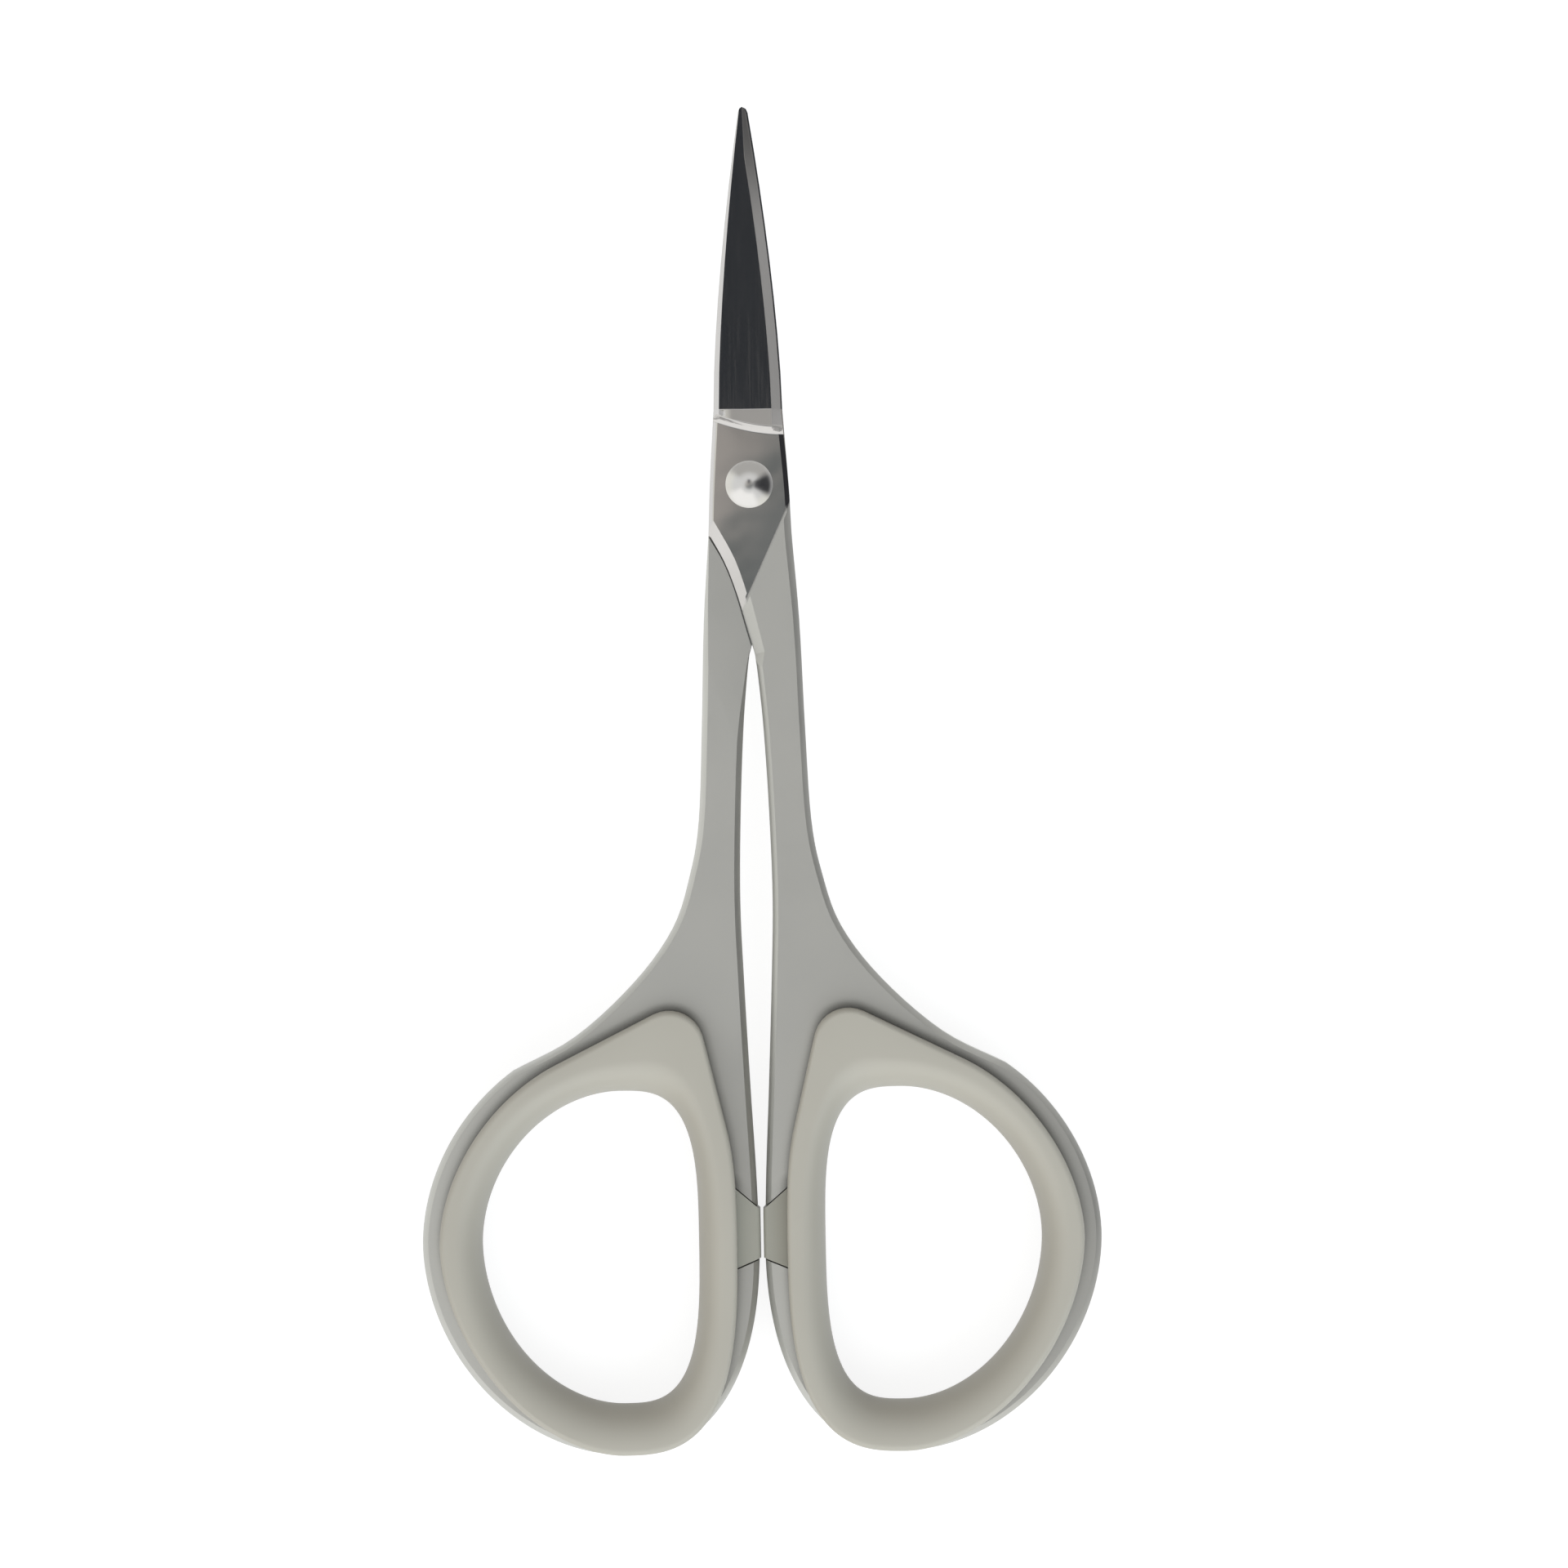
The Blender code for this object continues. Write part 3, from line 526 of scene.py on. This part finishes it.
def plate_crown(shader, across, along):
    """Height in millimetres of the slightly crowned, hand-polished joint plate."""
    height = 0.0
    crowns = ((across, 0.0, PLATE_CROWN_ACROSS), (along, PLATE_CROWN_Y, PLATE_CROWN_ALONG))
    for value, centre, radius in crowns:
        offset = shader.sum("SUBTRACT", value, centre)
        square = shader.sum("MULTIPLY", offset, offset)
        drop = shader.sum("MULTIPLY", square, 1 / (2 * radius * MM))
        height = shader.sum("SUBTRACT", height, drop)
    return height


def length_of(shader, first, second):
    """Length of the two parts of a flat vector."""
    squares = [shader.sum("MULTIPLY", part, part) for part in (first, second)]
    return shader.sum("SQRT", shader.sum("ADD", *squares))


def outward(shader, side, vector):
    """A direction on a half, turned back and into the world for a Normal socket."""
    turned = shader.vector_sum("MULTIPLY", vector, (side, 1.0, side))
    spaces = {"vector_type": "NORMAL", "convert_from": "OBJECT", "convert_to": "WORLD"}
    return shader.add("ShaderNodeVectorTransform", ((0, turned),), **spaces).outputs[0]


def shaped_normal(shader, side, place, normal, masks):
    """Softer form than the facets': level shanks, sloping bows, an even cutting bevel, a ridge."""
    across, along, _ = place
    x, y, z = normal
    ground, strip, ridge, runout, seam = masks
    level = shader.ramp(shader.sum("ABSOLUTE", z), NEARLY_LEVEL, 1.0, SHANK_LEVEL)
    level = shader.mix(seam, level, 0.0)
    away_x = shader.sum("SUBTRACT", across, BOW.x)
    away_y = shader.sum("SUBTRACT", along, BOW.y)
    bow = shader.ramp(along, BOW_START, BOW_SLOPE, 0.0)
    slope = shader.sum("DIVIDE", bow, length_of(shader, away_x, away_y))
    x, y = (
        shader.sum("ADD", shader.sum("MULTIPLY", part, level), shader.sum("MULTIPLY", away, slope))
        for part, away in ((x, away_x), (y, away_y))
    )
    flat = length_of(shader, x, y)
    z = shader.mix(ground, z, shader.sum("MULTIPLY", flat, GROUND_RISE))
    z = shader.mix(strip, z, shader.sum("MULTIPLY", flat, STRIP_RISE))
    leftward = shader.ramp(across, RUNOUT_CORNER, RUNOUT_CORNER_LEAN, RUNOUT_FACING[0])
    run_out = (leftward, *RUNOUT_FACING[1:])
    parts = (
        shader.mix(ridge, shader.mix(runout, part, run), rounded)
        for part, run, rounded in zip((x, y, z), run_out, RIDGE_FACING)
    )
    return outward(shader, side, shader.vector_sum("NORMALIZE", shader.vector(*parts)))


def lip_shade(shader, side, along, normal):
    """How open a bow's steel is to the light in front, 1 in the open; used as painted shade in the
    steel's colour.
    """
    x, y, z = normal
    leaning = shader.vector(x, shader.sum("SUBTRACT", y, SHADE_LEAN), z)
    inputs = (("Distance", SHADE_REACH), ("Normal", outward(shader, side, leaning)))
    openness = shader.add("ShaderNodeAmbientOcclusion", inputs, samples=SHADE_SAMPLES).outputs["AO"]
    level = shader.ramp(shader.sum("ABSOLUTE", z), FACING_UP)
    bow = shader.ramp(along, SHADE_START, 1.0, 0.0)
    share = shader.sum("MULTIPLY", level, bow)
    return shader.mix(share, 1.0, shader.ramp(openness, SHADE_OPENNESS, SHADE_DARKEST, 1.0))


def steel_masks(shader, across, along, height, normal, beside, polish):
    """1 on the cutting bevel, the right side, the ridge, the run-out and the polish's seam."""
    outer = shader.ramp(normal["Z"], FACING_OUT)
    ground = shader.sum("MULTIPLY", outer, blade_edge_mask(shader, across, along))
    strip = shader.sum("MULTIPLY", shader.ramp(normal["X"], FACING_RIGHT), outer)
    strip = shader.sum("MULTIPLY", strip, shader.mix(polish, STRIP_SATIN, STRIP_POLISHED))
    strip = shader.sum("MULTIPLY", strip, shader.ramp(along, STRIP_END, 1.0, 0.0))
    ridge, runout = shoulder_masks(shader, across, along, height)
    runout = shader.sum("MULTIPLY", runout, shader.sum("SUBTRACT", 1.0, ground))
    steep = shader.sum(
        "MULTIPLY", shader.ramp(normal["Z"], SEAM_FACING), shader.ramp(height, SEAM_HEIGHT)
    )
    seam = shader.ramp(shader.sum("ABSOLUTE", beside), SEAM_BORDER, 1.0, 0.0)
    return ground, strip, ridge, runout, shader.sum("MULTIPLY", seam, steep)


def make_steel(name, side):
    """Bead-blasted satin shank and bow, polished joint plate, mirror blade, with painted shade on
    the bows beside the lips and on the cutting bevel towards the tip.
    """
    shader = Shader(name)
    place, direction = half_space(shader, side)
    position = shader.split(place)
    across, along, height = position
    normal = shader.split(direction)
    beside = polish_line_distance(shader, across, along)
    polish = joint_polish_mask(shader, beside, along, height, normal["Z"])
    blade = shader.ramp(along, ROOT_BORDER)
    masks = steel_masks(shader, across, along, height, normal, beside, polish)
    ground = masks[0]

    fine = shader.noise(place, STEEL_GRAIN, 2.0)
    cloud = shader.noise(place, STEEL_CLOUDS)
    wave = shader.noise(place, STEEL_WAVES, 1.0)
    lines = shader.stretched_noise(place, POLISH_LINES)

    # Painted shade: the satin colour darkens towards black where a lip shades the bow's steel.
    shade = lip_shade(shader, side, along, normal)
    satin = shader.blend(shade, BLACK, shader.blend(cloud, *SATIN))
    # Painted shade: the cutting bevel's colour darkens towards the tip, standing in for its dimmer
    # reflection there.
    painted_tip_shade = shader.sum("MULTIPLY", ground, shader.ramp(along, TIP_SHADOW, 0.0, TIP_PAINTED_SHADE))
    polished = shader.blend(painted_tip_shade, shader.blend(cloud, *POLISHED), BLACK)
    shader.set("Base Color", shader.blend(polish, satin, polished))
    shader.set("Metallic", 1.0)

    rough = shader.mix(
        polish,
        shader.ramp(cloud, NOISE_SPAN, *SATIN_ROUGH),
        shader.ramp(cloud, NOISE_SPAN, *JOINT_ROUGH),
    )
    rough = shader.mix(blade, rough, shader.ramp(lines, NOISE_SPAN, *BLADE_ROUGH))
    shader.set("Roughness", shader.mix(ground, rough, BEVEL_ROUGH))

    joint_only = shader.sum("MULTIPLY", polish, shader.sum("SUBTRACT", 1.0, blade))
    crown = plate_crown(shader, across, along)
    unevenness = shader.sum("ADD", crown, shader.sum("MULTIPLY", wave, PLATE_WAVE))
    shape = shaped_normal(shader, side, position, normal, masks)
    shape = shader.bump(unevenness, MM, joint_only, shape)
    strength = shader.mix(polish, SATIN_GRAIN, POLISH_GRAIN)
    grain = shader.bump(shader.mix(polish, fine, lines), GRAIN_DEPTH, strength, shape)
    shader.set("Normal", grain)
    return shader.material


def make_polish(name):
    """Bright turned steel of the rivet."""
    shader = Shader(name)
    cloud = shader.noise(shader.place(), RIVET_CLOUDS)
    shader.set("Base Color", shader.blend(cloud, *RIVET))
    shader.set("Metallic", 1.0)
    shader.set("Roughness", shader.ramp(cloud, NOISE_SPAN, *RIVET_ROUGH))
    return shader.material


def make_soft(name, colours):
    """Smooth moulded soft plastic, grey with a beige cast."""
    shader = Shader(name)
    place = shader.place()
    cloud = shader.noise(place, SOFT_CLOUDS)
    grain = shader.noise(place, SOFT_GRAIN, 2.0)
    shader.set("Base Color", shader.blend(cloud, *colours))
    shader.set("Roughness", shader.ramp(cloud, NOISE_SPAN, *SOFT_ROUGH))
    shader.set("Normal", shader.bump(grain, GRAIN_DEPTH, SOFT_GRAIN_STRENGTH))
    return shader.material


def smoothing_nodes():
    """Nodes that weld a faceted solid and shade it smooth between its sharp edges."""
    group = bpy.data.node_groups.new("smooth_solid", "GeometryNodeTree")
    group.interface.new_socket("Geometry", in_out="INPUT", socket_type="NodeSocketGeometry")
    group.interface.new_socket("Geometry", in_out="OUTPUT", socket_type="NodeSocketGeometry")
    nodes = Nodes(group)
    solid = nodes.add("NodeGroupInput").outputs[0]
    weld = (("Geometry", solid), ("Distance", WELD))
    solid = nodes.add("GeometryNodeMergeByDistance", weld).outputs[0]
    plain = (("Geometry", solid), ("Name", "custom_normal"))
    solid = nodes.add("GeometryNodeRemoveAttribute", plain).outputs[0]
    faces = (("Geometry", solid),)
    solid = nodes.add("GeometryNodeSetShadeSmooth", faces, domain="FACE").outputs[0]
    along = nodes.split(nodes.add("GeometryNodeInputPosition").outputs[0])["Y"]
    handle = nodes.sum("LESS_THAN", along, PIVOT.y + SLANT_END_Y)
    limit = nodes.mix(handle, GROUND_CREASE, FORGED_CREASE)
    angle = nodes.add("GeometryNodeInputMeshEdgeAngle").outputs["Unsigned Angle"]
    smooth = nodes.sum("LESS_THAN", angle, limit)
    edges = (("Geometry", solid), ("Shade Smooth", smooth))
    solid = nodes.add("GeometryNodeSetShadeSmooth", edges, domain="EDGE").outputs[0]
    nodes.add("NodeGroupOutput", ((0, solid),))
    return group


def dress(node, material, group):
    """A CAD node with its finish, shaded smooth by modifiers."""
    item = frame["nodes"][node]
    for slot in item.material_slots:
        slot.material = material
    smooth = item.modifiers.new("smooth", "NODES")
    smooth.node_group = group
    weighted = item.modifiers.new("weighted", "WEIGHTED_NORMAL")
    weighted.keep_sharp = True


def make_camera():
    camera = bpy.data.cameras.new("camera")
    camera.sensor_width = SENSOR
    camera.lens = SENSOR * CAMERA_HEIGHT / (PIXEL_SIZE * PHOTO_PIXELS)
    camera.clip_start = CAMERA_NEAREST
    holder = link(bpy.data.objects.new("camera", camera))
    turn = Matrix.Rotation(CAMERA_ROLL, 3, "Z")
    holder.location = PIVOT + turn @ Vector((CAMERA_RIGHT, -CAMERA_DOWN, CAMERA_HEIGHT))
    holder.rotation_euler = (0.0, 0.0, CAMERA_ROLL)
    bpy.context.scene.camera = holder


def aim(item, centre):
    """Put a studio piece at its place, facing the scissors."""
    item.location = centre
    item.rotation_euler = (-Vector(centre)).to_track_quat("-Z", "Y").to_euler()


def make_card(name, size, material):
    """A flat studio piece."""
    bm = bmesh.new()
    bmesh.ops.create_grid(bm, x_segments=1, y_segments=1, size=0.5)
    bmesh.ops.scale(bm, vec=(*size, 1.0), verts=bm.verts)
    card = link(bpy.data.objects.new(name, mesh_from_bmesh(bm, name)))
    card.data.materials.append(material)
    return card


def make_matt(name, colour):
    shader = Shader(name)
    shader.set("Base Color", (*colour, 1.0))
    shader.set("Roughness", 1.0)
    shader.set("Specular IOR Level", 0.0)
    return shader


def make_flag():
    """A dark card that only polished steel shows."""
    matt = make_matt("camera_flag", CARD_COLOUR)
    flag = make_card("camera_flag", CARD_SIZE, matt.material)
    aim(flag, CARD_PLACE)
    flag.visible_camera = False
    flag.visible_diffuse = False
    flag.visible_shadow = False


def make_lamp(name, placing, colour):
    """A soft box that looks at the scissors. Steel mirrors the room instead."""
    azimuth, elevation, power = placing
    lamp = bpy.data.lights.new(name, "AREA")
    lamp.shape = "RECTANGLE"
    lamp.size, lamp.size_y = LAMP_SIZE
    lamp.energy = power
    lamp.color = colour
    holder = link(bpy.data.objects.new(name, lamp))
    height = math.radians(elevation)
    flat = polar(math.radians(azimuth), LAMP_DISTANCE * math.cos(height))
    aim(holder, (flat.x, flat.y, LAMP_DISTANCE * math.sin(height)))
    holder.visible_camera = False
    holder.visible_glossy = False


def make_floor():
    shader = make_matt("floor", FLOOR_COLOUR)
    rays = shader.add("ShaderNodeLightPath").outputs
    mirrored = shader.sum("MAXIMUM", rays["Is Glossy Ray"], rays["Is Transmission Ray"])
    seen = shader.sum("MAXIMUM", rays["Is Camera Ray"], mirrored)
    shader.set("Emission Color", (1.0, 1.0, 1.0, 1.0))
    shader.set("Emission Strength", shader.sum("MULTIPLY", seen, FLOOR_GLOW))
    floor = make_card("floor", FLOOR_SIZE, shader.material)
    floor.location.z = -FLOOR_DROP


def bearing_mask(nodes, x, y, bearing):
    """1 around the middle of a bearing, down to 0 where it ends."""
    middle, near, far = (math.radians(angle) for angle in bearing)
    ahead = nodes.sum(
        "ADD",
        nodes.sum("MULTIPLY", x, math.cos(middle)),
        nodes.sum("MULTIPLY", y, math.sin(middle)),
    )
    aside = nodes.sum(
        "SUBTRACT",
        nodes.sum("MULTIPLY", y, math.cos(middle)),
        nodes.sum("MULTIPLY", x, math.sin(middle)),
    )
    turn = nodes.sum("ABSOLUTE", nodes.sum("ARCTAN2", aside, ahead))
    return nodes.ramp(turn, (near, far), 1.0, 0.0)


def make_world():
    """A pale room: bright in front, dim behind and overhead, dark on the right."""
    world = bpy.data.worlds.new("studio")
    bpy.context.scene.world = world
    world.use_nodes = True
    nodes = Nodes(world.node_tree)
    x, y, z = nodes.split(nodes.add("ShaderNodeTexCoord").outputs["Generated"])
    sky = nodes.blend(nodes.ramp(z, SKY_RISE), SKY_LOW, SKY_MIDDLE)
    back = bearing_mask(nodes, x, y, BACK_BEARING)
    back = nodes.sum("MULTIPLY", back, nodes.ramp(z, BACK_TOP, 1.0, 0.0))
    sky = nodes.blend(back, sky, SKY_BACK)
    front = nodes.sum("MULTIPLY", nodes.ramp(z, FRONT_FOOT), nodes.ramp(z, FRONT_TOP, 1.0, 0.0))
    front = nodes.sum("MULTIPLY", bearing_mask(nodes, x, y, FRONT_BEARING), front)
    sky = nodes.blend(front, sky, SKY_FRONT)
    lean = nodes.sum("SUBTRACT", y, nodes.sum("MULTIPLY", x, OVERHEAD_LEAN))
    overhead = nodes.blend(nodes.ramp(lean, OVERHEAD_SPLIT), SKY_OVERHEAD, SKY_OVERHEAD_BACK)
    sky = nodes.blend(nodes.ramp(z, OVERHEAD_FOOT), sky, overhead)
    right = bearing_mask(nodes, x, y, RIGHT_BEARING)
    right = nodes.sum("MULTIPLY", right, nodes.ramp(z, RIGHT_TOP, 1.0, 0.0))
    dark = nodes.blend(nodes.ramp(z, RIGHT_RISE), SKY_RIGHT_LOW, SKY_RIGHT)
    sky = nodes.blend(right, sky, dark)
    nodes.feed(world.node_tree.nodes["Background"].inputs["Color"], sky)


def make_studio():
    make_world()
    make_floor()
    make_lamp("soft_box_left", LEFT_LAMP, WARM)
    make_lamp("soft_box_right", RIGHT_LAMP, COOL)
    make_flag()


def main():
    make_camera()
    make_studio()
    soft = make_soft("soft_moulding", MOULDING)
    # The stops' colour holds painted shade: the inserts' plastic, darker and slightly greener.
    stop = make_soft("shaded_soft_stop", SHADED_STOP_MOULDING)
    make_insert("right_grip_ring", 1, "front_half", "right_finger_insert", soft)
    make_insert("left_grip_ring", -1, "rear_half", "left_finger_insert", soft)
    make_stop("right_bumper", 1, "front_half", "right_stop", stop)
    make_stop("left_bumper", -1, "rear_half", "left_stop", stop)
    group = smoothing_nodes()
    dress("front_arm", make_steel("front_steel", 1), group)
    dress("rear_arm", make_steel("rear_steel", -1), group)
    dress("pivot_rivet", make_polish("rivet_steel"), group)
    bpy.context.scene.view_settings.view_transform = "Standard"


main()
